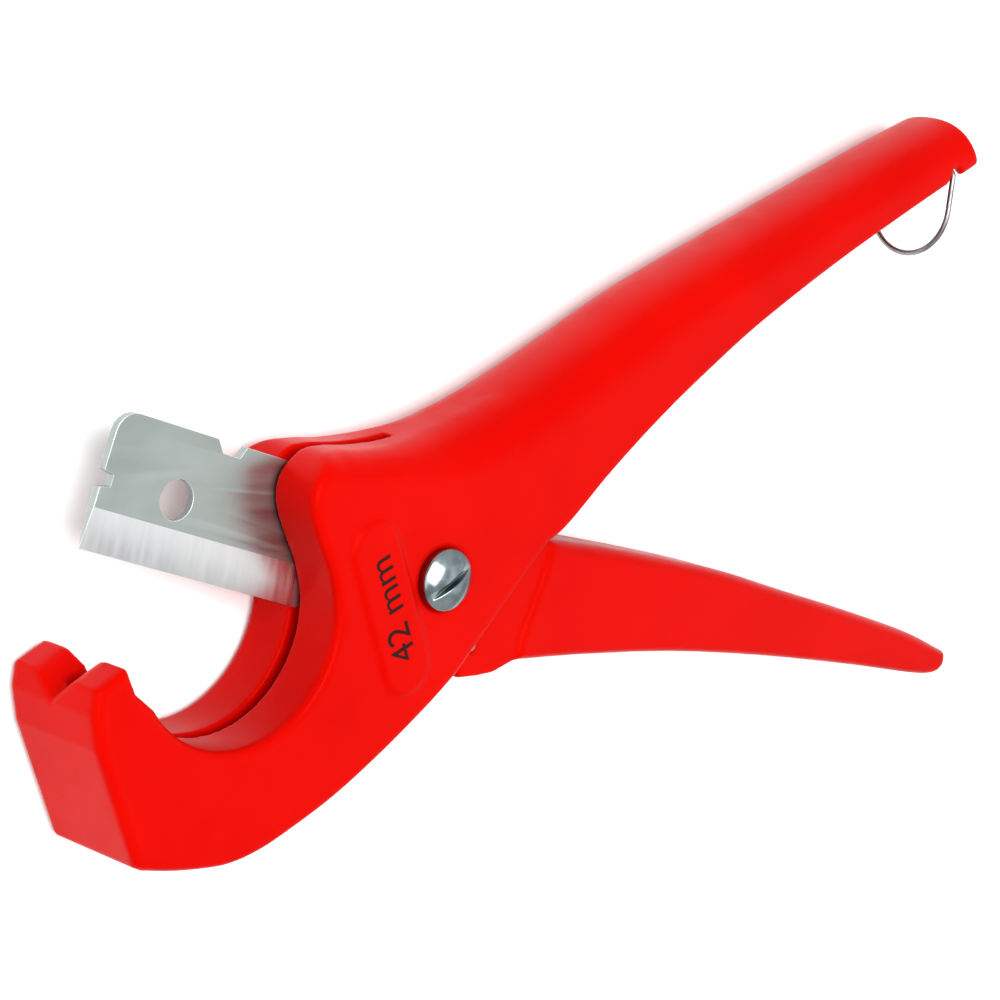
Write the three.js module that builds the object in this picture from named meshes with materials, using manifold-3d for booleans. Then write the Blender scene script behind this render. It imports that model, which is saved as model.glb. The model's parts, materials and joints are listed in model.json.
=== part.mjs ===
// One-hand shear for plastic pipe: a hooked cast frame whose upper handle is a channel,
// a blade carried by the lower lever, a slotted pivot screw, and a wire bail that holds the
// handles shut. Millimetres, +Z up. The tool lies on its far side, so the pivot stands upright.
import * as THREE from "three";
import { mergeVertices } from "three/addons/utils/BufferGeometryUtils.js";
import Module from "manifold-3d";

const wasm = await Module();
wasm.setup();

// Driving dimensions, drawn about the pivot: X along the tool, Y from jaw to upper handle.
const BODY_HALF = 12.3; // half thickness of the frame
const THROAT = { x: -45.6, y: -8.05, r: 21.5 }; // the hook's seat for a 42 mm pipe
const HUB_R = 17.5; // the lever's round hub
const HUB_HALF = 8.6;
const CAVITY_R = 18.1; // the pocket in the frame that the hub turns in
const CAVITY_HALF = 9.0;
const ROOT_R = 27.2; // past this radius the pocket is as wide as the handle's channel
const WALL = 2.4;
const BLADE_T = 1.6;
const BLADE_ANGLE = THREE.MathUtils.degToRad(167.1); // the blade's direction from the pivot
const BLADE_TIP = 72.3;
const BLADE_HEEL = -16.7;
const BLADE_EDGE = 12.4; // from the centre line to the cutting edge
const BLADE_BACK = 12.2;
const BEVEL_START = 5.0;
const BLADE_HOLE_R = 3.64;
const NOTCH = 2.2; // depth of the notches in the blade's ends and back
const SLOT_HALF = 1.2; // half width of the blade's slot in the frame
const SLOT_R = 74.2;
const CLEAR = 0.3;
const OPEN = THREE.MathUtils.degToRad(-30); // the lever's travel from the pose as built
const SHUT = THREE.MathUtils.degToRad(38);
const SCREW_R = 3.34;
const HEAD_R = 5.86;
const NUT_FLATS = 10;
const PIN_R = 1.3;
const BAIL = { x: 134.4, y: 84.0, wire: 0.6, half: 10.0, drop: 18.4 };
const RED = { color: 0xe8160c, roughness: 0.28, metalness: 0.0 };
const STEEL = { color: 0xb4bcbd, roughness: 0.32, metalness: 1.0 };
const DARK_STEEL = { color: 0x5c5f63, roughness: 0.35, metalness: 1.0 };

// A closed geometry as a manifold-3d solid, with its faces turned outwards.
function solid(geometry) {
  const bare = new THREE.BufferGeometry();
  bare.setAttribute("position", geometry.getAttribute("position"));
  bare.setIndex(geometry.index);
  const merged = mergeVertices(bare, 1e-4);
  const vertProperties = new Float32Array(merged.attributes.position.array);
  const triVerts = new Uint32Array(merged.index.array);
  const made = new wasm.Manifold(new wasm.Mesh({ numProp: 3, vertProperties, triVerts }));
  if (made.volume() > 0) return made;
  triVerts.reverse();
  return new wasm.Manifold(new wasm.Mesh({ numProp: 3, vertProperties, triVerts }));
}

function named(name, shape, look) {
  const mesh = shape.getMesh();
  const geometry = new THREE.BufferGeometry();
  geometry.setAttribute("position", new THREE.BufferAttribute(mesh.vertProperties, 3));
  geometry.setIndex(new THREE.BufferAttribute(mesh.triVerts, 1));
  geometry.computeVertexNormals();
  const made = new THREE.Mesh(geometry, new THREE.MeshStandardMaterial(look));
  made.name = name;
  return made;
}

// Points along an arc, angles in degrees.
function arc(x, y, r, from, to, steps) {
  return Array.from({ length: steps + 1 }, (_, i) => {
    const a = THREE.MathUtils.degToRad(from + ((to - from) * i) / steps);
    return [x + r * Math.cos(a), y + r * Math.sin(a)];
  });
}

function prism(points, low, high) {
  const shape = new THREE.Shape(points.map(([x, y]) => new THREE.Vector2(x, y)));
  const made = new THREE.ExtrudeGeometry(shape, { depth: high - low, bevelEnabled: false });
  return solid(made.translate(0, 0, low));
}

function cylinder(x, y, r, low, high, sides = 40) {
  const made = new THREE.CylinderGeometry(r, r, high - low, sides);
  return solid(made.rotateX(Math.PI / 2).translate(x, y, (low + high) / 2));
}

// Joins closed rings of equal length with quads and closes both ends with the cap's triangles.
function loft(rings, capPlane) {
  const count = rings[0].length;
  const position = rings.flat(2);
  const flat = rings[0].map((p) => new THREE.Vector2(...capPlane(p)));
  const cap = THREE.ShapeUtils.triangulateShape(flat, []);
  const index = [];
  for (let k = 0; k + 1 < rings.length; k++) {
    for (let i = 0; i < count; i++) {
      const a = k * count + i;
      const b = k * count + ((i + 1) % count);
      index.push(a, b, b + count, a, b + count, a + count);
    }
  }
  const last = (rings.length - 1) * count;
  for (const [a, b, c] of cap) {
    index.push(a, c, b);
    index.push(a + last, b + last, c + last);
  }
  const made = new THREE.BufferGeometry();
  made.setAttribute("position", new THREE.Float32BufferAttribute(position, 3));
  made.setIndex(index);
  return solid(made);
}

// A plate with rounded rims. Outline points are [x, y, inset, depth]: the rim at a point is a
// quarter ellipse that goes in by inset on the face and starts depth below it. The half
// thickness at x is half(x).
function roundedPlate(outline, half, steps) {
  const count = outline.length;
  const inward = outline.map(([x, y], i) => {
    const [px, py] = outline[(i + count - 1) % count];
    const [nx, ny] = outline[(i + 1) % count];
    const before = new THREE.Vector2(py - y, x - px).normalize();
    const after = new THREE.Vector2(y - ny, nx - x).normalize();
    const middle = before.clone().add(after).normalize();
    return middle.divideScalar(Math.max(0.5, middle.dot(after)));
  });
  const ring = (side, turn) =>
    outline.map(([x, y, inset, depth], i) => {
      const move = inset * (1 - Math.cos(turn));
      const h = half(x);
      const z = side * (h - Math.min(depth, h * 0.98) * (1 - Math.sin(turn)));
      return [x + inward[i].x * move, y + inward[i].y * move, z];
    });
  const turns = Array.from({ length: steps + 1 }, (_, k) => (k / steps) * (Math.PI / 2));
  const lower = turns.toReversed().map((turn) => ring(-1, turn));
  const upper = turns.map((turn) => ring(1, turn));
  return loft([...lower, ...upper], ([x, y]) => [x, y]);
}

// The hook jaw and body: counterclockwise from the jaw's tip.
function bodyPlate() {
  const with2 = (points, inset, depth = inset) => points.map(([x, y]) => [x, y, inset, depth]);
  const outline = [
    ...with2([[-69.2, -13.7], [-75.5, -17.5]], 0.6),
    ...with2([[-75.5, -22], [-73.7, -28], [-62.8, -48.8], [-61, -50.0], [-50, -50.6], [-42, -50.2]], 1.2),
    ...with2([[-36, -48.6], [-29.4, -45.5], [-19.3, -39.6], [-9.2, -32.3], [0.8, -24], [6.9, -18.3]], 1.2),
    ...with2([[27, 7]], 0.8),
    ...with2([[24, 22], [17.3, 34]], 8, 9),
    ...with2([[10, 30.3], [3, 27.6], [-4, 25.4]], 9, 10),
    ...with2([[-11, 23.7], [-18, 22.8]], 6.5),
    ...with2([[-24, 22.6]], 4.5),
    ...with2([[-28, 21.8]], 2.6),
    ...with2([[-30.9, 19.6], [-32.5, 17], [-33, 14], [-32, 10.5], [-29.5, 6], [-27, 2]], 1.4),
    ...with2([[-25.3, -2], [-24.4, -5.5]], 1.4),
    ...with2(arc(THROAT.x, THROAT.y, THROAT.r, 0, -148.8, 14), 1.4),
  ];
  return roundedPlate(outline, () => BODY_HALF, 3);
}

// Stations of the upper handle: [ridge x, ridge y, lower edge x, lower edge y, half width].
const HANDLE = [
  [-12, 23.1, -6, 12, 12.3],
  [-4, 25.1, 4, 9, 12.3],
  [10, 30.2, 22, 7, 12.3],
  [18.5, 34.8, 29.5, 8.6, 12.3],
  [26, 39, 41.3, 20, 12.3],
  [39, 46.5, 53.3, 30.7, 12.2],
  [50, 52.9, 65.9, 40.6, 12.0],
  [62, 59.4, 75.3, 47.6, 11.8],
  [78, 67.2, 88.8, 56.3, 11.6],
  [95, 75.5, 102.8, 64.8, 11.4],
  [112, 83.6, 118.4, 73.5, 11.2],
  [137, 95.1, 141.9, 86.1, 11.0],
];
const ARCH_POWER = 2.4;

// An inverted U across the handle: straight walls up to a rounded arch.
function archSection([rx, ry, lx, ly, halfWidth], thinner, extend) {
  const ridge = new THREE.Vector2(rx, ry);
  const low = new THREE.Vector2(lx, ly);
  const up = ridge.clone().sub(low);
  const height = up.length();
  up.normalize();
  const width = halfWidth - thinner;
  const top = height - thinner;
  const arch = Math.min(top, 10.5 - thinner * 0.6);
  const steps = 12;
  const section = [];
  for (let i = 0; i <= steps; i++) {
    const turn = (Math.PI * i) / steps;
    const across = width * Math.sign(Math.cos(turn)) * Math.abs(Math.cos(turn)) ** (2 / ARCH_POWER);
    const along = top - arch + arch * Math.sin(turn) ** (2 / ARCH_POWER);
    section.push([low.x + up.x * along, low.y + up.y * along, across]);
  }
  section.push([low.x - up.x * extend, low.y - up.y * extend, -width]);
  section.push([low.x - up.x * extend, low.y - up.y * extend, width]);
  return section;
}

function alongHandle(stations, thinner, extend) {
  const rings = stations.map((s) => archSection(s, thinner, extend));
  return loft(rings, ([, y, z]) => [z, y]);
}

// The space that the hub, the lever's root and the blade's heel sweep inside the body.
function hubPocket() {
  const round = arc(0, 0, CAVITY_R, 75, 263, 26);
  const open = [[-3.4, -32], [48, -32], [48, 30], [30, 33], [21, 29.5], [12, 24.5]];
  const narrow = prism([...round, ...open], -CAVITY_HALF, CAVITY_HALF);
  const bend = arc(0, 0, ROOT_R, 62, -62, 16);
  const wide = prism([...bend, [50, -24], [50, 26], [31, 34]], -BODY_HALF + WALL, BODY_HALF - WALL);
  return narrow.add(wide);
}

// The blade's slot: every place that the blade reaches between open and shut.
function bladeSlot() {
  const reach = (offset) => Math.asin(offset / SLOT_R);
  const open = BLADE_ANGLE + OPEN;
  const shut = BLADE_ANGLE + SHUT;
  const deg = THREE.MathUtils.radToDeg;
  const edge = BLADE_EDGE + 0.8;
  const back = BLADE_BACK + 0.8;
  const outer = arc(0, 0, SLOT_R, deg(open - reach(back)), deg(shut + reach(edge)), 20);
  const points = [
    [back * Math.sin(open), -back * Math.cos(open)],
    ...outer,
    [-edge * Math.sin(shut), edge * Math.cos(shut)],
  ];
  const heel = Math.hypot(BLADE_HEEL, BLADE_EDGE) + 0.5;
  return prism(points, -SLOT_HALF, SLOT_HALF).add(cylinder(0, 0, heel, -SLOT_HALF, SLOT_HALF, 48));
}

// The V across the jaw's tip that leads the blade into its slot.
function tipValley() {
  const along = new THREE.Vector2(5.7, 3.5).normalize();
  const out = new THREE.Vector2(-along.y, along.x);
  const depth = 3.0;
  const halfWidth = 4.8;
  const ring = (s) => [
    [halfWidth, 0.4],
    [-halfWidth, 0.4],
    [0, -depth],
  ].map(([z, v]) => [-75 + along.x * s + out.x * v, -18 + along.y * s + out.y * v, z]);
  return loft([ring(-4), ring(12)], ([x, y, z]) => [z, y]);
}

function frameCasting() {
  const channel = HANDLE.slice(3).map(([a, b, c, d, w], i) => [a, b, c, d, w + 0.6 * (i / 8)]);
  const last = channel.at(-1);
  channel.push([last[0] + 6, last[1] + 3.6, last[2] + 6, last[3] + 3.6, last[4]]);
  const springHole = cylinder(0, 7.4, 1.0, CAVITY_HALF - 0.5, CAVITY_HALF + 1.8, 16);
  const notch = cylinder(BAIL.x, BAIL.y, BAIL.wire + 0.35, -14, 14, 20);
  const fan = [[-0.95, 0], [-2.4, -4], [6, -4], [0.62, 0.74]];
  const mouth = prism(fan.map(([x, y]) => [BAIL.x + x, BAIL.y + y]), -14, 14);
  const cuts = [
    hubPocket(),
    alongHandle(channel, WALL, 8),
    bladeSlot(),
    tipValley(),
    cylinder(0, 0, SCREW_R + CLEAR, -14, 14),
    cylinder(0, 0, HEAD_R + CLEAR, BODY_HALF - 0.6, BODY_HALF + 2),
    cylinder(0, 0, NUT_FLATS / Math.sqrt(3) + CLEAR, -BODY_HALF - 1, -BODY_HALF + 2.1, 6),
    springHole,
    notch.add(mouth),
  ];
  const shell = bodyPlate().add(alongHandle(HANDLE, 0, 0)).add(labelPad());
  return cuts.reduce((body, cut) => body.subtract(cut), shell);
}

// The raised oval pad on the near face.
function labelPad() {
  const a = [-17.3, 5.3];
  const b = [-6.6, -15.8];
  const tilt = THREE.MathUtils.radToDeg(Math.atan2(b[1] - a[1], b[0] - a[0]));
  const points = [...arc(...a, 5.5, tilt + 90, tilt + 270, 10), ...arc(...b, 5.5, tilt - 90, tilt + 90, 10)];
  return prism(points, BODY_HALF - 1, BODY_HALF + 0.65);
}

// Lower lever: a grip that tapers to its tip, and a narrower root with the round hub.
const gripHalf = (x) => 9.3 - (x - 28) * 0.0163;

const HUB = [[15.9, -18.5], [19.5, -18.2], [26, -15.6], [34, -14], [34, 3], [30, 6]];

function leverCasting() {
  const rim = (points, inset) => points.map(([x, y]) => [x, y, inset, inset]);
  const grip = roundedPlate(
    [
      ...rim([[24.7, -16], [43.7, -15.7], [69.5, -16.3], [97.3, -18.3], [127.2, -21.8], [150, -24.8]], 1.8),
      ...rim([[158.2, -25.4], [161.6, -23.8]], 1.8),
      ...rim([[162, -20.6]], 2.4),
      ...rim([[148, -16.2], [124.8, -10.6], [104.2, -5.8], [84.5, -1.4], [65.9, 1.7], [48.2, 4.3]], 3.2),
      ...rim([[30, 6.3]], 2.0),
      ...rim([[28.3, -1.3], [24.8, -12.5]], 0.6),
    ],
    gripHalf,
    3,
  );
  const root = prism([...arc(0, 0, HUB_R, 35, 303, 34), ...HUB], -HUB_HALF, HUB_HALF);
  const cuts = [
    bladeOutline(CLEAR, BLADE_T / 2 + CLEAR),
    cylinder(0, 0, SCREW_R + CLEAR, -14, 14),
    springPocket(),
    ...pinPlaces().map(([x, y]) => cylinder(x, y, PIN_R + CLEAR, -14, 14, 20)),
    cylinder(...ANCHOR, PIN_R + CLEAR, 2.6, 14, 20),
  ];
  return cuts.reduce((body, cut) => body.subtract(cut), grip.add(root));
}

// Blade coordinates: s along the blade from the pivot, t towards the cutting edge.
function onBlade(s, t) {
  const c = Math.cos(BLADE_ANGLE);
  const n = Math.sin(BLADE_ANGLE);
  return [s * c - t * n, s * n + t * c];
}

// The blade's outline, grown by a clearance where the lever is cut for it.
function bladeOutline(grow, half) {
  const tip = BLADE_TIP + grow;
  const heel = BLADE_HEEL - grow;
  const edge = BLADE_EDGE + grow;
  const back = -BLADE_BACK - grow;
  const outline = [
    [tip, edge], [tip, 1.5], [tip - NOTCH, 1.0], [tip - NOTCH, -1.0], [tip, -1.5],
    ...arc(tip - 4, back + 4, 4, 0, -90, 5),
    [50.4, back], [48.6, back + NOTCH], [44.6, back + NOTCH], [43.6, back],
    [12, back], [11.4, back + NOTCH], [7.8, back + NOTCH], [5.6, back],
    ...arc(heel + 4, back + 4, 4, -90, -180, 5),
    [heel, -1.5], [heel + NOTCH, -1.0], [heel + NOTCH, 1.0], [heel, 1.5], [heel, edge],
  ];
  return prism(outline.map(([s, t]) => onBlade(s, t)), -half, half);
}

function blade() {
  const half = BLADE_T / 2;
  const section = [
    [-BLADE_BACK - 1, -half], [BEVEL_START, -half], [BLADE_EDGE + 0.1, -0.08],
    [BLADE_EDGE + 0.1, 0.08], [BEVEL_START, half], [-BLADE_BACK - 1, half],
  ];
  const ring = (s) => section.map(([t, z]) => [...onBlade(s, t), z]);
  const bevelled = loft([ring(BLADE_TIP + 5), ring(BLADE_HEEL - 5)], ([x, y, z]) => [z, y]);
  const shape = bladeOutline(0, BLADE_T).intersect(bevelled);
  const holes = [0, 55.6].map((s) => cylinder(...onBlade(s, 0), BLADE_HOLE_R, -2, 2, 36));
  return holes.reduce((body, hole) => body.subtract(hole), shape);
}

// Two pins through the fork: one in the blade's heel notch, one in its back notch.
const pinPlaces = () => [
  onBlade(BLADE_HEEL + NOTCH - PIN_R - CLEAR - 0.9, 0),
  onBlade(9.6, -BLADE_BACK + NOTCH - PIN_R - CLEAR),
];
const ANCHOR = [12.5, -13.5];

function springPocket() {
  const ring = cylinder(0, 0, 9.2, 3.2, 14).subtract(cylinder(0, 0, 5.4, 3.2, 14));
  const groove = prism([[4.6, -7.4], [6.6, -5.4], [13.8, -12.8], [11.8, -14.8]], 3.2, 5.4);
  return ring.add(groove.intersect(cylinder(0, 0, 16.5, 0, 14)));
}

// A domed screw head with a driver slot, on a plain shank.
function pivotScrew() {
  const seat = BODY_HALF - 0.3;
  const rim = BODY_HALF + 1.3;
  const end = -BODY_HALF + 0.3;
  const dome = 2.0;
  const sphere = (HEAD_R ** 2 + dome ** 2) / (2 * dome);
  const profile = [[0, end], [SCREW_R, end], [SCREW_R, seat], [HEAD_R, seat], [HEAD_R, rim]];
  for (let i = 1; i < 6; i++) {
    const r = HEAD_R * (1 - i / 6);
    profile.push([r, rim + dome - sphere + Math.sqrt(sphere ** 2 - r ** 2)]);
  }
  profile.push([0, rim + dome]);
  const lathe = new THREE.LatheGeometry(profile.map(([r, z]) => new THREE.Vector2(r, z)), 40);
  const slot = new THREE.BoxGeometry(20, 1.3, 3).translate(0, 0, rim + dome);
  slot.rotateZ(THREE.MathUtils.degToRad(36));
  return solid(lathe.rotateX(Math.PI / 2)).subtract(solid(slot));
}

function pivotNut() {
  const outer = cylinder(0, 0, NUT_FLATS / Math.sqrt(3), -BODY_HALF + 0.1, -BODY_HALF + 1.8, 6);
  return outer.subtract(cylinder(0, 0, SCREW_R + CLEAR, -14, 0));
}

// Return spring: a coil in the hub, one leg turned up into the frame, one out to its anchor.
const COIL = { r: 7.4, bottom: 4.4, top: 7.9, turns: 2.38, wire: 0.6, legEnd: 15.9, rise: 1.6 };

class SpringPath extends THREE.Curve {
  getPoint(t) {
    const onCoil = (u) => {
      const a = Math.PI / 2 + (u - 1) * COIL.turns * 2 * Math.PI;
      const z = COIL.bottom + (COIL.top - COIL.bottom) * u;
      return new THREE.Vector3(COIL.r * Math.cos(a), COIL.r * Math.sin(a), z);
    };
    if (t < 0.08) {
      const end = onCoil(0);
      const out = (1 - t / 0.08) * (COIL.legEnd / COIL.r - 1);
      return new THREE.Vector3(end.x * (1 + out), end.y * (1 + out), end.z);
    }
    if (t > 0.95) return onCoil(1).setZ(COIL.top + ((t - 0.95) / 0.05) * COIL.rise);
    return onCoil((t - 0.08) / 0.87);
  }
}

function sweep(path, radius, sides, steps) {
  const ring = arc(0, 0, radius, 0, 360 - 360 / sides, sides - 1);
  const section = new THREE.Shape(ring.map(([x, y]) => new THREE.Vector2(x, y)));
  return solid(new THREE.ExtrudeGeometry(section, { steps, bevelEnabled: false, extrudePath: path }));
}

// A wire loop: an axle across the channel, two legs and a half-round end, hanging along -Y.
function bailWire() {
  const bend = 1.4;
  const straight = BAIL.drop - BAIL.half;
  const at = (y, z) => new THREE.Vector3(BAIL.x, BAIL.y - y, z);
  const points = [
    at(0, BAIL.half - bend),
    ...[22.5, 45, 67.5].map((d) => cornerPoint(at, d, bend, 1)),
    at(bend, BAIL.half),
    at(straight, BAIL.half),
    ...Array.from({ length: 15 }, (_, i) => {
      const a = (Math.PI * (i + 1)) / 16;
      return at(straight + BAIL.half * Math.sin(a), BAIL.half * Math.cos(a));
    }),
    at(straight, -BAIL.half),
    at(bend, -BAIL.half),
    ...[67.5, 45, 22.5].map((d) => cornerPoint(at, d, bend, -1)),
    at(0, -BAIL.half + bend),
  ];
  return ringSweep([...points, at(0, 0)], BAIL.wire, 8);
}

function cornerPoint(at, degrees, bend, side) {
  const a = THREE.MathUtils.degToRad(degrees);
  return at(bend - bend * Math.cos(a), side * (BAIL.half - bend + bend * Math.sin(a)));
}

// A round wire that follows a closed loop in the plane X = constant.
function ringSweep(points, radius, sides) {
  const count = points.length;
  const rings = points.map((p, i) => {
    const before = points[(i + count - 1) % count];
    const after = points[(i + 1) % count];
    const along = after.clone().sub(before).normalize();
    const across = new THREE.Vector3(1, 0, 0);
    const side = across.clone().cross(along);
    return Array.from({ length: sides }, (_, k) => {
      const a = (k / sides) * 2 * Math.PI;
      const out = across.clone().multiplyScalar(Math.cos(a)).addScaledVector(side, Math.sin(a));
      return p.clone().addScaledVector(out, radius).toArray();
    });
  });
  const index = [];
  for (let k = 0; k < count; k++) {
    for (let i = 0; i < sides; i++) {
      const next = (i + 1) % sides;
      const a = k * sides + i;
      const b = k * sides + next;
      const c = ((k + 1) % count) * sides + next;
      const d = ((k + 1) % count) * sides + i;
      index.push(a, b, c, a, c, d);
    }
  }
  const made = new THREE.BufferGeometry();
  made.setAttribute("position", new THREE.Float32BufferAttribute(rings.flat(2), 3));
  made.setIndex(index);
  return solid(made);
}

const [heelPin, backPin] = pinPlaces();
const tool = new THREE.Group();
tool.add(
  named("frame", frameCasting(), RED),
  named("lever", leverCasting(), RED),
  named("blade", blade(), STEEL),
  named("pivot_screw", pivotScrew(), STEEL),
  named("pivot_nut", pivotNut(), STEEL),
  named("return_spring", sweep(new SpringPath(), COIL.wire, 8, 80), DARK_STEEL),
  named("spring_anchor_pin", cylinder(...ANCHOR, PIN_R, 2.9, HUB_HALF + 0.2, 20), STEEL),
  named("blade_heel_pin", cylinder(...heelPin, PIN_R, -HUB_HALF, HUB_HALF, 20), STEEL),
  named("blade_back_pin", cylinder(...backPin, PIN_R, -HUB_HALF, HUB_HALF, 20), STEEL),
  named("bail", bailWire(), DARK_STEEL),
);

// The part's origin is the middle of its base.
const bounds = new THREE.Box3().setFromObject(tool);
tool.position.set(-(bounds.min.x + bounds.max.x) / 2, -(bounds.min.y + bounds.max.y) / 2, -bounds.min.z);

export default tool;
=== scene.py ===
"""Looks for the plastic pipe cutter: fine cast surfaces, ground steel, plating and wire."""
import json
import math

import bmesh
import bpy
import numpy as np
from mathutils import Matrix, Vector


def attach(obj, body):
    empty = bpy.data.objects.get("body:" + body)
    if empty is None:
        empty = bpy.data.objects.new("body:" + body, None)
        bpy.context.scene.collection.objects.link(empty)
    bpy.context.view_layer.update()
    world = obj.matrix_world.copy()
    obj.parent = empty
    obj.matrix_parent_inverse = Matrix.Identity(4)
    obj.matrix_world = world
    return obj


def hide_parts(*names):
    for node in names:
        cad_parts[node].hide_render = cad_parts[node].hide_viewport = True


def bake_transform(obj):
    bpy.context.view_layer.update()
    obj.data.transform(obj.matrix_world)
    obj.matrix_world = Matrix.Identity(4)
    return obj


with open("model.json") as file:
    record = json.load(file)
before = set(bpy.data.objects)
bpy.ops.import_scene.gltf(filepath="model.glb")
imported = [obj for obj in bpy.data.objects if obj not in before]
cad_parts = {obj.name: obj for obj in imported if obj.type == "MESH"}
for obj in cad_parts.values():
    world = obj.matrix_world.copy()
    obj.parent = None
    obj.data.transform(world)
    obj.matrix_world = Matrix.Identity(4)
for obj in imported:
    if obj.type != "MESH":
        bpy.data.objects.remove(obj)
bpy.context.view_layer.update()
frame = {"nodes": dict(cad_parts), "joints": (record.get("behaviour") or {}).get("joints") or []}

# The pivot's place in the row's frame, in metres: the outlines below are drawn about it, in mm.
JOINTS = {joint["name"]: joint for joint in frame["joints"]}
PIVOT = np.array(JOINTS["handle_pivot"]["pos_m"])
BAIL_AT = (np.array(JOINTS["bail_swing"]["pos_m"]) - PIVOT) * 1000.0
OPEN, SHUT = JOINTS["handle_pivot"]["range_deg"]
MM = 0.001

BODY_HALF = 12.3
THROAT_X, THROAT_Y, THROAT_R = -45.6, -8.05, 21.5
HUB_R, HUB_HALF = 17.5, 8.6
CAVITY_R, CAVITY_HALF, ROOT_R = 18.1, 9.0, 27.2
WALL = 2.4
CLEAR = 0.3
SLOT_HALF, SLOT_R = 1.2, 74.2
BLADE_T = 1.6
BLADE_ANGLE = math.radians(167.1)
BLADE_HEEL, BLADE_EDGE, BLADE_BACK = -16.7, 12.4, 12.2
SCREW_R, HEAD_R = 3.34, 5.86
NUT_R = 10 / math.sqrt(3)
PIN_R = 1.3
BAIL_WIRE, BAIL_HALF, BAIL_DROP = 0.6, 10.0, 18.4
ANCHOR = (12.5, -13.5)
PAD_TOP, PAD_LOW = np.array((-17.3, 5.3)), np.array((-6.6, -15.8))
PAD_R, PAD_RISE = 5.5, 0.6
CAST_STEP, SCREW_STEP = 0.5, 0.14
THROUGH = 15


# ---------------------------------------------------------------- outlines

def arc(x, y, r, start, end, steps):
    turn = np.radians(np.linspace(start, end, steps + 1))
    return np.c_[x + r * np.cos(turn), y + r * np.sin(turn)]


def spline(points, steps=8):
    """A smooth open curve through the points (Catmull-Rom)."""
    p = np.array(points, float)
    p = np.vstack([2 * p[0] - p[1], p, 2 * p[-1] - p[-2]])
    out = []
    for a, b, c, d in zip(p, p[1:], p[2:], p[3:]):
        for t in np.arange(steps) / steps:
            out.append(0.5 * (2 * b + (c - a) * t + (2 * a - 5 * b + 4 * c - d) * t**2
                              + (3 * b - a - 3 * c + d) * t**3))
    return np.vstack([out, p[-2]])


RIDGE = [(-30, 22.2), (-25, 22.4), (-18, 22.5), (-11, 23.3), (-4, 24.9), (3, 27.1), (10, 30.0),
         (24.4, 37.8), (39, 46.2), (54, 54.9), (78, 66.9), (103.5, 79.3), (121, 87.8), (136.6, 94.8)]
LOWER = [(22, 4.6), (29.8, 8.6), (41.3, 20.0), (53.3, 30.7), (65.9, 40.6), (78.8, 49.8),
         (99.3, 62.5), (120.8, 74.6), (141.6, 86.0)]


def body_outline():
    nose = [(-66.6, -18.6), (-69.3, -13.9), (-75.3, -17.6), (-75.4, -22), (-73.7, -28), (-62.9, -48.9)]
    sole = spline([(-61, -49.6), (-55, -50.2), (-48, -50.4), (-42, -50.0), (-36, -48.3), (-29.5, -45.2),
                   (-19.4, -39.4), (-9.3, -32.1), (0.7, -23.9), (6.8, -18.2)])
    rear = [(27, 7), (24, 22), (17.3, 33.6)]
    crown = spline([(10, 30.2), (3, 27.4), (-4, 25.2), (-11, 23.5), (-18, 22.7), (-24, 22.5), (-28, 21.8),
                    (-30.9, 19.6), (-32.6, 17), (-33, 14), (-32, 10.5), (-29.5, 6), (-27, 2),
                    (-25.2, -2), (-24.3, -5.5), (-24.1, -8.05)])
    throat = arc(THROAT_X, THROAT_Y, THROAT_R, 0, -141, 60)
    return np.vstack([nose, sole, rear, crown, throat[1:]])


# ---------------------------------------------------------------- distance fields

class Grid:
    """A block of sample points in mm about the pivot."""

    def __init__(self, low, high, step):
        self.low, self.step = np.array(low, float), step
        axes = [np.arange(a, b + step, step, dtype=np.float32) for a, b in zip(low, high)]
        self.x = axes[0][:, None, None]
        self.y = axes[1][None, :, None]
        self.z = axes[2][None, None, :]

    def flat(self, field, *args):
        """Samples a 2-D field over X and Y."""
        x, y = np.broadcast_arrays(self.x[:, :, 0], self.y[:, :, 0])
        return field(x, y, *args).astype(np.float32)[:, :, None]


def polygon(x, y, points):
    """Signed distance to a closed outline, negative inside."""
    best = np.full(x.shape, 1e9)
    inside = np.zeros(x.shape, bool)
    for (ax, ay), (bx, by) in zip(points, np.roll(points, -1, 0)):
        ex, ey = bx - ax, by - ay
        if ex * ex + ey * ey < 1e-12:
            continue
        t = np.clip(((x - ax) * ex + (y - ay) * ey) / (ex * ex + ey * ey), 0, 1)
        best = np.minimum(best, (x - ax - t * ex)**2 + (y - ay - t * ey)**2)
        if ay != by:
            crosses = (ay > y) != (by > y)
            inside ^= crosses & (x < ax + (y - ay) * ex / ey)
    return np.where(inside, -1, 1) * np.sqrt(best)


def beside(x, y, points):
    """Signed distance to an open curve, positive on its left."""
    best = np.full(x.shape, 1e9)
    side = np.ones(x.shape)
    for (ax, ay), (bx, by) in zip(points, points[1:]):
        ex, ey = bx - ax, by - ay
        t = np.clip(((x - ax) * ex + (y - ay) * ey) / (ex * ex + ey * ey), 0, 1)
        d = (x - ax - t * ex)**2 + (y - ay - t * ey)**2
        nearer = d < best - 1e-9
        cross = ex * (y - ay) - ey * (x - ax)
        side = np.where(nearer, np.sign(cross), side)
        best = np.where(nearer, d, best)
    return side * np.sqrt(best)


def smooth(low, high, v):
    t = np.clip((v - low) / (high - low), 0, 1)
    return t * t * (3 - 2 * t)


def both(a, b, r=0.0):
    """What lies in both solids; their meeting edge is softened over about r."""
    if r == 0:
        return np.maximum(a, b)
    h = np.maximum(r - np.abs(a - b), 0) / r
    return np.maximum(a, b) + h * h * r / 4


def either(a, b, r=0.0):
    return -both(-a, -b, r)


def cut(a, b, r=0.0):
    return both(a, -b, r)


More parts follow.
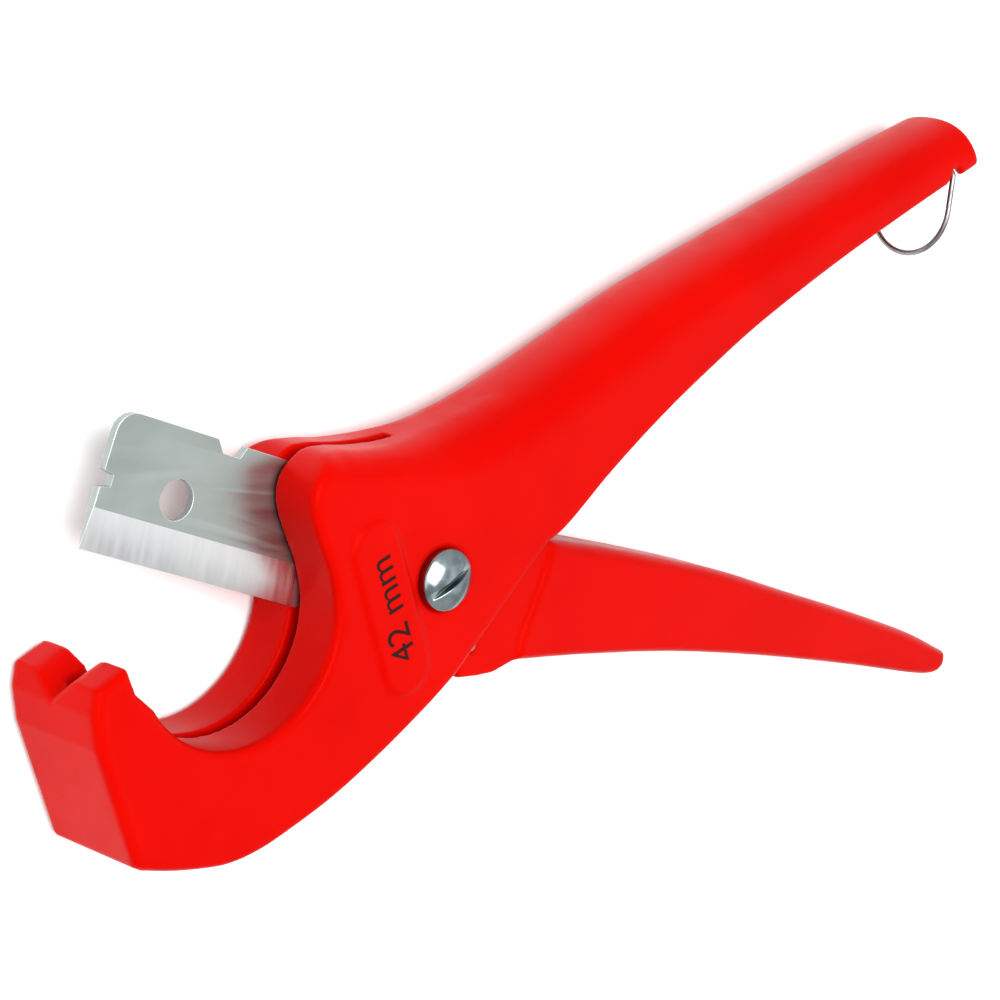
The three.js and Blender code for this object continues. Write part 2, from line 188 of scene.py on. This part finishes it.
def rimmed(d2, z, half, r):
    """A plate of half thickness half, its rims rounded by r."""
    q = np.abs(z) - half + r
    p = d2 + r
    return np.minimum(np.maximum(p, q), 0) + np.hypot(np.maximum(p, 0), np.maximum(q, 0)) - r


def slab(d2, z, low, high):
    return np.maximum(d2, np.maximum(low - z, z - high))


def round_hole(g, x, y, r, low, high):
    return slab(np.hypot(g.x - x, g.y - y) - r, g.z, low, high)


def surface(field, grid):
    """The zero surface as vertices (mm) and quads: one vertex in each cell that the surface crosses."""
    inside = field < 0
    sums = np.zeros(tuple(n - 1 for n in field.shape) + (3,), np.float32)
    count = np.zeros(tuple(n - 1 for n in field.shape), np.float32)
    corner = [slice(None, -1), slice(1, None)]
    for axis in range(3):
        others = [a for a in range(3) if a != axis]
        for i in (0, 1):
            for j in (0, 1):
                near, far = [None] * 3, [None] * 3
                near[axis], far[axis] = corner[0], corner[1]
                for a, k in zip(others, (i, j)):
                    near[a] = far[a] = corner[k]
                a, b = field[tuple(near)], field[tuple(far)]
                crosses = (a < 0) != (b < 0)
                t = np.where(crosses, a / np.where(crosses, a - b, 1), 0)
                offset = [0.0, 0.0, 0.0]
                offset[others[0]], offset[others[1]] = i, j
                for k in range(3):
                    sums[..., k] += np.where(crosses, t if k == axis else offset[k], 0)
                count += crosses
    cells = np.argwhere(count > 0)
    where = tuple(cells.T)
    vertices = grid.low + (cells + sums[where] / count[where][:, None]) * grid.step
    index = np.full(count.shape, -1, np.int64)
    index[where] = np.arange(len(cells))
    quads = []
    for axis in range(3):
        others = [a for a in range(3) if a != axis]
        a, b = [slice(1, -1)] * 3, [slice(1, -1)] * 3
        a[axis], b[axis] = slice(0, -1), slice(1, None)
        starts, ends = inside[tuple(a)], inside[tuple(b)]
        for flip in (False, True):
            hits = np.argwhere((starts & ~ends) if not flip else (~starts & ends))
            hits[:, others[0]] += 1
            hits[:, others[1]] += 1
            ring = []
            for i, j in ((-1, -1), (0, -1), (0, 0), (-1, 0)):
                c = hits.copy()
                c[:, others[0]] += i
                c[:, others[1]] += j
                ring.append(index[tuple(c.T)])
            turned = flip != (axis == 1)
            quads.append(np.stack(ring[::-1] if turned else ring, 1))
    return vertices, np.vstack(quads).tolist()


# ---------------------------------------------------------------- making pieces

def piece(name, vertices, faces, material, body, nodes):
    """A mesh object from mm about the pivot, riding on a body and standing for CAD nodes."""
    mesh = bpy.data.meshes.new(name)
    place = np.asarray(vertices) * MM + PIVOT
    mesh.from_pydata(place.tolist(), [], faces)
    mesh.validate()
    made = bpy.data.objects.new(name, mesh)
    bpy.context.scene.collection.objects.link(made)
    mesh.materials.append(material)
    mesh.polygons.foreach_set("use_smooth", [True] * len(mesh.polygons))
    if body:
        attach(made, body)
    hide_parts(*nodes)
    return made


# ---------------------------------------------------------------- the castings

def arch(z, depth, width, height, power=2.4):
    """Negative inside an inverted U whose crown is at depth 0; only roughly a distance."""
    rise = np.maximum(height - depth, 0)
    reach = np.hypot(z, rise)
    k = ((np.abs(z) / width)**power + (rise / height)**power)**(1 / power)
    return reach * (1 - 1 / np.maximum(k, 1e-4))


def handle_field(g):
    ridge = spline(RIDGE + [(145, 98.1)])
    lower = spline(LOWER + [(150, 90.9)])
    below = -g.flat(beside, ridge)
    above = g.flat(beside, lower)
    width = BODY_HALF - 1.3 * smooth(30, 138, g.x)
    crown = 10.5 - 0.8 * smooth(30, 138, g.x)
    end = (g.x - 136.8) * 0.862 + (g.y - 94.6) * 0.507
    front = (g.x + 16.5) * -0.625 + (g.y - 26.3) * -0.781
    outer = arch(g.z, below, width, crown)
    outer = both(outer, -above, 1.4)
    outer = both(outer, end, 1.2)
    outer = both(outer, front, 3.0)
    inner = arch(g.z, below - WALL, width - WALL + 0.4 * smooth(30, 138, g.x), crown - 0.6 * WALL)
    start = (18.5 - g.x) * 0.925 + (g.y - 35.3) * -0.381
    inner = both(inner, start)
    return outer, inner


def hub_pocket(g):
    narrow = np.vstack([arc(0, 0, CAVITY_R, 75, 263, 90),
                        [(-3.4, -32), (48, -32), (48, 30), (30, 33), (21, 29.5), (12, 24.5)]])
    wide = np.vstack([arc(0, 0, ROOT_R, 62, -62, 60), [(50, -24), (50, 26), (31, 34)]])
    return either(slab(g.flat(polygon, narrow), g.z, -CAVITY_HALF, CAVITY_HALF),
                  slab(g.flat(polygon, wide), g.z, -BODY_HALF + WALL, BODY_HALF - WALL))


def blade_slot(g):
    edge, back = BLADE_EDGE + 0.8, BLADE_BACK + 0.8
    opened, shut = BLADE_ANGLE + math.radians(OPEN), BLADE_ANGLE + math.radians(SHUT)
    outer = arc(0, 0, SLOT_R, math.degrees(opened - math.asin(back / SLOT_R)),
                math.degrees(shut + math.asin(edge / SLOT_R)), 60)
    points = np.vstack([[(back * math.sin(opened), -back * math.cos(opened))], outer,
                        [(-edge * math.sin(shut), edge * math.cos(shut))]])
    heel = math.hypot(BLADE_HEEL, BLADE_EDGE) + 0.5
    d2 = either(g.flat(polygon, points), np.hypot(g.x, g.y) - heel)
    return slab(d2, g.z, -SLOT_HALF, SLOT_HALF)


def tip_valley(g):
    along = np.array([0.852, 0.523])
    s = (g.x + 75) * along[0] + (g.y + 18) * along[1]
    v = -(g.x + 75) * along[1] + (g.y + 18) * along[0]
    slope = math.atan2(4.6, 3.2)
    vee = np.abs(g.z) * math.cos(slope) - (v + 3.0) * math.sin(slope)
    return both(both(vee, v - 4), np.maximum(-6 - s, s - 12))


def label_pad(g):
    (ax, ay), (bx, by) = PAD_TOP.tolist(), PAD_LOW.tolist()
    t = np.clip(((g.x - ax) * (bx - ax) + (g.y - ay) * (by - ay)) / ((bx - ax)**2 + (by - ay)**2), 0, 1)
    d2 = np.hypot(g.x - ax - t * (bx - ax), g.y - ay - t * (by - ay)) - PAD_R
    return both(both(d2, g.z - BODY_HALF - PAD_RISE, 0.3), BODY_HALF - 2 - g.z)


def hexagon(g, r):
    x, y = np.abs(g.x), np.abs(g.y)
    flat = r * math.sqrt(3) / 2
    return np.maximum(y - flat, x * 0.8660 + y * 0.5 - flat)


def frame_casting(red):
    g = Grid((-77, -52, -14), (144, 97, 14.5), CAST_STEP)
    rim = 1.5 + 5.0 * smooth(9, 21, g.y) * smooth(-33.5, -25, g.x)
    rim = rim + 3 * smooth(-14, 2, g.x) * smooth(8, 22, g.y)
    field = rimmed(g.flat(polygon, body_outline()), g.z, BODY_HALF, rim)
    outer, inner = handle_field(g)
    field = either(field, outer)
    field = either(field, label_pad(g), 0.25)
    field = cut(field, either(hub_pocket(g), inner), 0.7)
    field = cut(field, blade_slot(g), 0.5)
    field = cut(field, tip_valley(g), 0.8)
    field = cut(field, round_hole(g, 0, 0, SCREW_R + CLEAR, -THROUGH, THROUGH))
    field = cut(field, round_hole(g, 0, 0, HEAD_R + CLEAR, BODY_HALF - 0.6, 16), 0.5)
    field = cut(field, slab(hexagon(g, NUT_R + CLEAR), g.z, -16, -BODY_HALF + 2.1), 0.4)
    notch = np.hypot(g.x - BAIL_AT[0], g.y - BAIL_AT[1]) - BAIL_WIRE - 0.35
    fan = np.array([(-0.95, 0), (-2.4, -4), (6, -4), (0.62, 0.74)]) + BAIL_AT[:2]
    field = cut(field, either(notch, g.flat(polygon, fan)), 0.3)
    vertices, quads = surface(field, g)
    piece("frame_skin", vertices, quads, red, "frame", ["frame"])


def on_blade(s, t):
    c, n = math.cos(BLADE_ANGLE), math.sin(BLADE_ANGLE)
    return s * c - t * n, s * n + t * c


def pin_places():
    heel = on_blade(BLADE_HEEL + 2.2 - PIN_R - CLEAR - 0.9, 0)
    back = on_blade(9.6, -BLADE_BACK + 2.3 - PIN_R - CLEAR)
    return heel, back


def lever_casting(red):
    g = Grid((-20, -28, -11), (164, 20, 11), CAST_STEP)
    top = spline([(161.7, -20.5), (148, -15.9), (124.8, -10.3), (104.2, -5.8), (84.5, -1.4), (65.9, 1.7),
                  (48.2, 4.2), (30, 6.3)])
    bottom = spline([(24.7, -16.9), (43.7, -16.6), (69.5, -17.0), (97.3, -18.9), (127.2, -22.0), (150, -24.9),
                     (158, -25.2), (161, -23.6)])
    outline = np.vstack([bottom, top, [(28.3, -1.3), (24.8, -12.5)]])
    half = 9.3 - (g.x - 28) * 0.0163
    middle = -5 - 0.062 * g.x - 0.0006 * np.maximum(g.x - 60, 0)**2
    rim = 1.8 + 1.6 * smooth(-3, 3, g.y - middle) * smooth(26, 40, g.x)
    grip = rimmed(g.flat(polygon, outline), g.z, half, rim)
    hub = np.vstack([arc(0, 0, HUB_R, 35, 303, 90),
                     [(10.5, -19.8), (16.4, -19.5), (19.8, -19), (26, -16.4), (34, -14), (34, 3), (30, 6)]])
    root = rimmed(g.flat(polygon, hub), g.z, HUB_HALF, 0.6)
    field = either(grip, root, 0.5)
    s = g.x * math.cos(BLADE_ANGLE) + g.y * math.sin(BLADE_ANGLE)
    t = -g.x * math.sin(BLADE_ANGLE) + g.y * math.cos(BLADE_ANGLE)
    plate = np.maximum(np.maximum(BLADE_HEEL - CLEAR - s, s - 80), np.maximum(t - 12.7, -12.5 - t))
    field = cut(field, slab(plate, g.z, -BLADE_T / 2 - CLEAR, BLADE_T / 2 + CLEAR))
    field = cut(field, round_hole(g, 0, 0, SCREW_R + CLEAR, -THROUGH, THROUGH))
    for x, y in pin_places():
        field = cut(field, round_hole(g, x, y, PIN_R + CLEAR, -THROUGH, THROUGH))
    field = cut(field, round_hole(g, *ANCHOR, PIN_R + CLEAR, 2.6, THROUGH), 0.3)
    pocket = np.maximum(np.hypot(g.x, g.y) - 9.2, 5.4 - np.hypot(g.x, g.y))
    field = cut(field, slab(pocket, g.z, 3.2, THROUGH))
    groove = g.flat(polygon, np.array([(4.6, -7.4), (6.6, -5.4), (13.8, -12.8), (11.8, -14.8)]))
    groove = np.maximum(groove, np.hypot(g.x, g.y) - 16.5)
    field = cut(field, slab(groove, g.z, 3.2, 5.4))
    vertices, quads = surface(field, g)
    piece("lever_skin", vertices, quads, red, "lever", ["lever"])


def capacity_mark(paint):
    """The pipe size that the model assumes, in dark paint on the pad, reading up its length."""
    data = bpy.data.curves.new("capacity_mark", "FONT")
    data.body = "42 mm"
    data.size = 1.0
    data.extrude = 0.006
    data.align_x = "CENTER"
    data.align_y = "CENTER"
    made = bpy.data.objects.new("capacity_mark", data)
    bpy.context.scene.collection.objects.link(made)
    centre, along = (PAD_TOP + PAD_LOW) / 2, PAD_TOP - PAD_LOW
    made.location = PIVOT + np.array((*centre, BODY_HALF + PAD_RISE + 0.02)) * MM
    made.rotation_euler = (0, 0, math.atan2(along[1], along[0]))
    made.scale = (7.6 * MM,) * 3
    data.materials.append(paint)
    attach(made, "frame")


# ---------------------------------------------------------------- steel pieces

def pivot_screw(plating):
    seat, rim, end, dome = BODY_HALF - 0.3, BODY_HALF + 1.3, -BODY_HALF + 0.3, 2.0
    g = Grid((-7, -7, -13), (7, 7, 16.5), SCREW_STEP)
    r = np.hypot(g.x, g.y)
    ball = (HEAD_R**2 + dome**2) / (2 * dome)
    top = np.sqrt(r**2 + (g.z - (rim + dome - ball))**2) - ball
    head = both(both(r - HEAD_R, top, 0.35), seat - g.z, 0.2)
    shank = both(both(r - SCREW_R, end - g.z, 0.4), g.z - seat - 1)
    a = math.radians(36)
    across = -g.x * math.sin(a) + g.y * math.cos(a)
    slot = both(np.abs(across) - 0.65, rim + dome - 1.5 - g.z)
    field = cut(either(head, shank, 0.2), slot, 0.25)
    vertices, quads = surface(field, g)
    piece("pivot_screw_fine", vertices, quads, plating, "frame", ["pivot_screw"])


def tube(points, radius, sides, closed):
    """A round wire through points, its rings carried along without twist."""
    p = np.array(points, float)
    n = len(p)
    ahead = np.roll(p, -1, 0) - np.roll(p, 1, 0) if closed else np.gradient(p, axis=0)
    ahead /= np.linalg.norm(ahead, axis=1)[:, None]
    across = np.cross(ahead[0], (0.3, 0.2, 0.93))
    vertices = []
    for k in range(n):
        across = across - ahead[k] * (across @ ahead[k])
        across /= np.linalg.norm(across)
        other = np.cross(ahead[k], across)
        turn = np.arange(sides) * 2 * math.pi / sides
        vertices.append(p[k] + radius * (np.cos(turn)[:, None] * across + np.sin(turn)[:, None] * other))
    faces = []
    for k in range(n if closed else n - 1):
        for i in range(sides):
            j, m = (i + 1) % sides, (k + 1) % n
            faces.append([k * sides + i, k * sides + j, m * sides + j, m * sides + i])
    if not closed:
        faces.append(list(range(sides))[::-1])
        faces.append(list(range((n - 1) * sides, n * sides)))
    return np.vstack(vertices), faces


def bail(wire):
    bend, straight = 1.4, BAIL_DROP - BAIL_HALF
    corner = [(bend - bend * math.cos(a), BAIL_HALF - bend + bend * math.sin(a))
              for a in np.radians(np.arange(0, 91, 15))]
    side = corner + [(y, BAIL_HALF) for y in np.linspace(2.4, straight, 8)]
    end = [(straight + BAIL_HALF * math.sin(a), BAIL_HALF * math.cos(a))
           for a in np.radians(np.arange(5, 176, 5))]
    axle = [(0.0, z) for z in np.linspace(-BAIL_HALF + bend, BAIL_HALF - bend, 10)][1:-1]
    loop = side + end + [(y, -z) for y, z in side[::-1]] + axle
    points = [(BAIL_AT[0], BAIL_AT[1] - y, z) for y, z in loop]
    vertices, faces = tube(points, BAIL_WIRE, 16, True)
    piece("bail_wire", vertices, faces, wire, "bail", ["bail"])


def return_spring(wire):
    r, low, high, turns = 7.4, 4.4, 7.9, 2.38
    u = np.linspace(0, 1, 160)
    a = math.pi / 2 + (u - 1) * turns * 2 * math.pi
    coil = np.c_[r * np.cos(a), r * np.sin(a), low + (high - low) * u]
    leg = [coil[0] * (k, k, 1) for k in np.linspace(15.9 / r, 1.12, 8)]
    rise = [(0, r, z) for z in np.linspace(high + 0.4, high + 1.5, 4)]
    vertices, faces = tube(np.vstack([leg, coil, rise]), 0.6, 12, False)
    made = piece("return_spring_wire", vertices, faces, wire, None, ["return_spring"])
    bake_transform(made)


def refined(name, node, body, material, bevel):
    """A CAD node's own shape with its sharp edges broken."""
    source = frame["nodes"][node].data
    bm = bmesh.new()
    bm.from_mesh(source)
    bmesh.ops.remove_doubles(bm, verts=bm.verts, dist=1e-6)
    bmesh.ops.dissolve_limit(bm, angle_limit=math.radians(0.6), verts=bm.verts, edges=bm.edges)
    sharp = [e for e in bm.edges if e.is_manifold and e.calc_face_angle(0) > math.radians(28)]
    bmesh.ops.bevel(bm, geom=sharp, offset=bevel * MM, segments=2, profile=0.6, affect="EDGES",
                    clamp_overlap=True)
    mesh = bpy.data.meshes.new(name)
    bm.to_mesh(mesh)
    bm.free()
    made = bpy.data.objects.new(name, mesh)
    bpy.context.scene.collection.objects.link(made)
    mesh.materials.append(material)
    mesh.shade_smooth()
    mesh.set_sharp_from_angle(angle=math.radians(25))
    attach(made, body)
    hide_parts(node)
    return made


# ---------------------------------------------------------------- materials

class Shader:
    """A small helper that adds nodes to one material."""

    def __init__(self, name):
        self.material = bpy.data.materials.new(name)
        self.material.use_nodes = True
        self.tree = self.material.node_tree
        self.surface = self.tree.nodes["Principled BSDF"]
        self.place = self.tree.nodes.new("ShaderNodeTexCoord").outputs["Object"]

    def feed(self, node, inputs):
        """Links or sets each named input of a node."""
        for key, value in inputs.items():
            socket = node.inputs[key.replace("_", " ")]
            if isinstance(value, bpy.types.NodeSocket):
                self.tree.links.new(value, socket)
            else:
                socket.default_value = value

    def node(self, kind, **inputs):
        made = self.tree.nodes.new("ShaderNode" + kind)
        self.feed(made, inputs)
        return made

    def noise(self, scale, detail=3.0, stretch=(1, 1, 1), turn=0.0):
        place = self.node("Mapping", Vector=self.place)
        place.inputs["Scale"].default_value = stretch
        place.inputs["Rotation"].default_value = (0, 0, turn)
        return self.node("TexNoise", Vector=place.outputs[0], Scale=scale, Detail=detail).outputs["Fac"]

    def ramp(self, value, low, high):
        made = self.node("ValToRGB", Fac=value)
        made.color_ramp.elements[0].position = 0.3
        made.color_ramp.elements[1].position = 0.7
        made.color_ramp.elements[0].color = (*low, 1)
        made.color_ramp.elements[1].color = (*high, 1)
        return made.outputs["Color"]

    def span(self, value, low, high):
        made = self.node("MapRange", Value=value, From_Min=0.3, From_Max=0.7, To_Min=low, To_Max=high)
        return made.outputs["Result"]

    def bump(self, height, distance, strength=1.0):
        made = self.node("Bump", Height=height, Strength=strength, Distance=distance)
        self.tree.links.new(made.outputs["Normal"], self.surface.inputs["Normal"])

    def set(self, **inputs):
        self.feed(self.surface, inputs)


def red_enamel():
    s = Shader("red_enamel")
    drift = s.noise(38.0, 4)
    s.set(Base_Color=s.ramp(drift, (0.44, 0.0010, 0.0002), (0.49, 0.0018, 0.0004)),
          Roughness=s.span(s.noise(160.0, 3), 0.30, 0.40), Specular_IOR_Level=0.05,
          Specular_Tint=(1.0, 0.10, 0.03, 1.0), Coat_Weight=0.015, Coat_Roughness=0.08)
    s.bump(s.noise(900.0, 2), 0.00002, 0.5)
    return s.material


def ground_steel():
    s = Shader("ground_steel")
    lengthwise = s.noise(420.0, 4, (0.05, 1, 1), -BLADE_ANGLE)
    blotch = s.noise(60.0, 4)
    s.set(Base_Color=s.ramp(blotch, (0.28, 0.325, 0.31), (0.35, 0.39, 0.375)), Metallic=1.0,
          Roughness=s.span(lengthwise, 0.30, 0.46))
    s.bump(lengthwise, 0.00003, 0.35)
    return s.material


def bevel_steel():
    s = Shader("bevel_steel")
    crosswise = s.noise(700.0, 3, (1, 0.05, 1), -BLADE_ANGLE)
    s.set(Base_Color=s.ramp(crosswise, (0.58, 0.595, 0.60), (0.66, 0.67, 0.675)), Metallic=1.0,
          Roughness=s.span(crosswise, 0.26, 0.38))
    s.bump(crosswise, 0.00002, 0.3)
    return s.material


def bright_plating():
    s = Shader("bright_plating")
    s.set(Base_Color=s.ramp(s.noise(240.0, 4), (0.13, 0.17, 0.18), (0.34, 0.40, 0.41)), Metallic=1.0,
          Roughness=s.span(s.noise(500.0, 3), 0.12, 0.26))
    s.bump(s.noise(320.0, 3), 0.00004, 0.4)
    return s.material


def drawn_wire():
    s = Shader("drawn_wire")
    s.set(Base_Color=s.ramp(s.noise(300.0, 4), (0.20, 0.20, 0.205), (0.36, 0.36, 0.365)), Metallic=1.0,
          Roughness=s.span(s.noise(800.0, 3), 0.24, 0.38))
    s.bump(s.noise(1500.0, 2), 0.00001, 0.4)
    return s.material


def dark_paint():
    s = Shader("dark_paint")
    s.set(Base_Color=s.ramp(s.noise(900.0, 3), (0.006, 0.001, 0.001), (0.03, 0.004, 0.002)),
          Roughness=s.span(s.noise(600.0, 2), 0.35, 0.5), Specular_IOR_Level=0.1)
    return s.material


def floor_paint():
    s = Shader("floor_white")
    s.set(Base_Color=s.ramp(s.noise(3.0, 2), (0.93, 0.93, 0.93), (0.95, 0.95, 0.95)), Roughness=0.9)
    return s.material


# ---------------------------------------------------------------- stage

def camera():
    """The view: turned 44.5 degrees to the left of the screw's axis and a little above it."""
    yaw, pitch, distance, shift_x, shift_y = -0.7765, -0.1828, 562.12, 18.681, 12.072
    turn = Matrix.Rotation(pitch, 4, "X") @ Matrix.Rotation(yaw, 4, "Y")
    data = bpy.data.cameras.new("camera")
    data.sensor_width = 36
    data.lens = 110.06
    data.clip_start = 0.01
    made = bpy.data.objects.new("camera", data)
    bpy.context.scene.collection.objects.link(made)
    place = turn @ Vector((shift_x, shift_y, distance))
    made.matrix_world = Matrix.Translation(place * MM + Vector(PIVOT)) @ turn
    bpy.context.scene.camera = made


def area(name, place, target, size, watts):
    data = bpy.data.lights.new(name, "AREA")
    data.size = size
    data.energy = watts
    made = bpy.data.objects.new(name, data)
    bpy.context.scene.collection.objects.link(made)
    made.location = place
    made.rotation_euler = (Vector(target) - Vector(place)).to_track_quat("-Z", "Y").to_euler()


def stage():
    bpy.context.scene.view_settings.view_transform = "Standard"
    mesh = bpy.data.meshes.new("floor")
    reach = 4.0
    corners = [(-reach, -reach, 0), (reach, -reach, 0), (reach, reach, 0), (-reach, reach, 0)]
    mesh.from_pydata(corners, [], [(0, 1, 2, 3)])
    floor = bpy.data.objects.new("floor", mesh)
    bpy.context.scene.collection.objects.link(floor)
    mesh.materials.append(floor_paint())
    floor.location.z = -0.0005
    area("key", (-0.35, 0.2, 1.1), (0, 0, 0), 0.9, 17)
    area("fill", (-0.9, -0.2, 0.7), (0, 0, 0), 0.8, 3)
    area("panel", (0.85, -0.1, 0.85), (0, 0, 0), 1.0, 2)
    world = bpy.data.worlds.new("room")
    world.use_nodes = True
    world.node_tree.nodes["Background"].inputs[0].default_value = (1, 1, 1, 1)
    world.node_tree.nodes["Background"].inputs[1].default_value = 0.72
    bpy.context.scene.world = world


def build():
    red, steel, plating, wire = red_enamel(), ground_steel(), bright_plating(), drawn_wire()
    frame_casting(red)
    capacity_mark(dark_paint())
    lever_casting(red)
    pivot_screw(plating)
    bail(wire)
    return_spring(wire)
    blade = refined("blade_fine", "blade", "lever", steel, 0.12)
    blade.data.materials.append(bevel_steel())
    for face in blade.data.polygons:
        if 0.02 < abs(face.normal.z) < 0.998:
            face.material_index = 1
    refined("pivot_nut_fine", "pivot_nut", "frame", plating, 0.25)
    for node in ("spring_anchor_pin", "blade_heel_pin", "blade_back_pin"):
        refined(node + "_fine", node, "lever", plating, 0.2)


camera()
stage()
build()
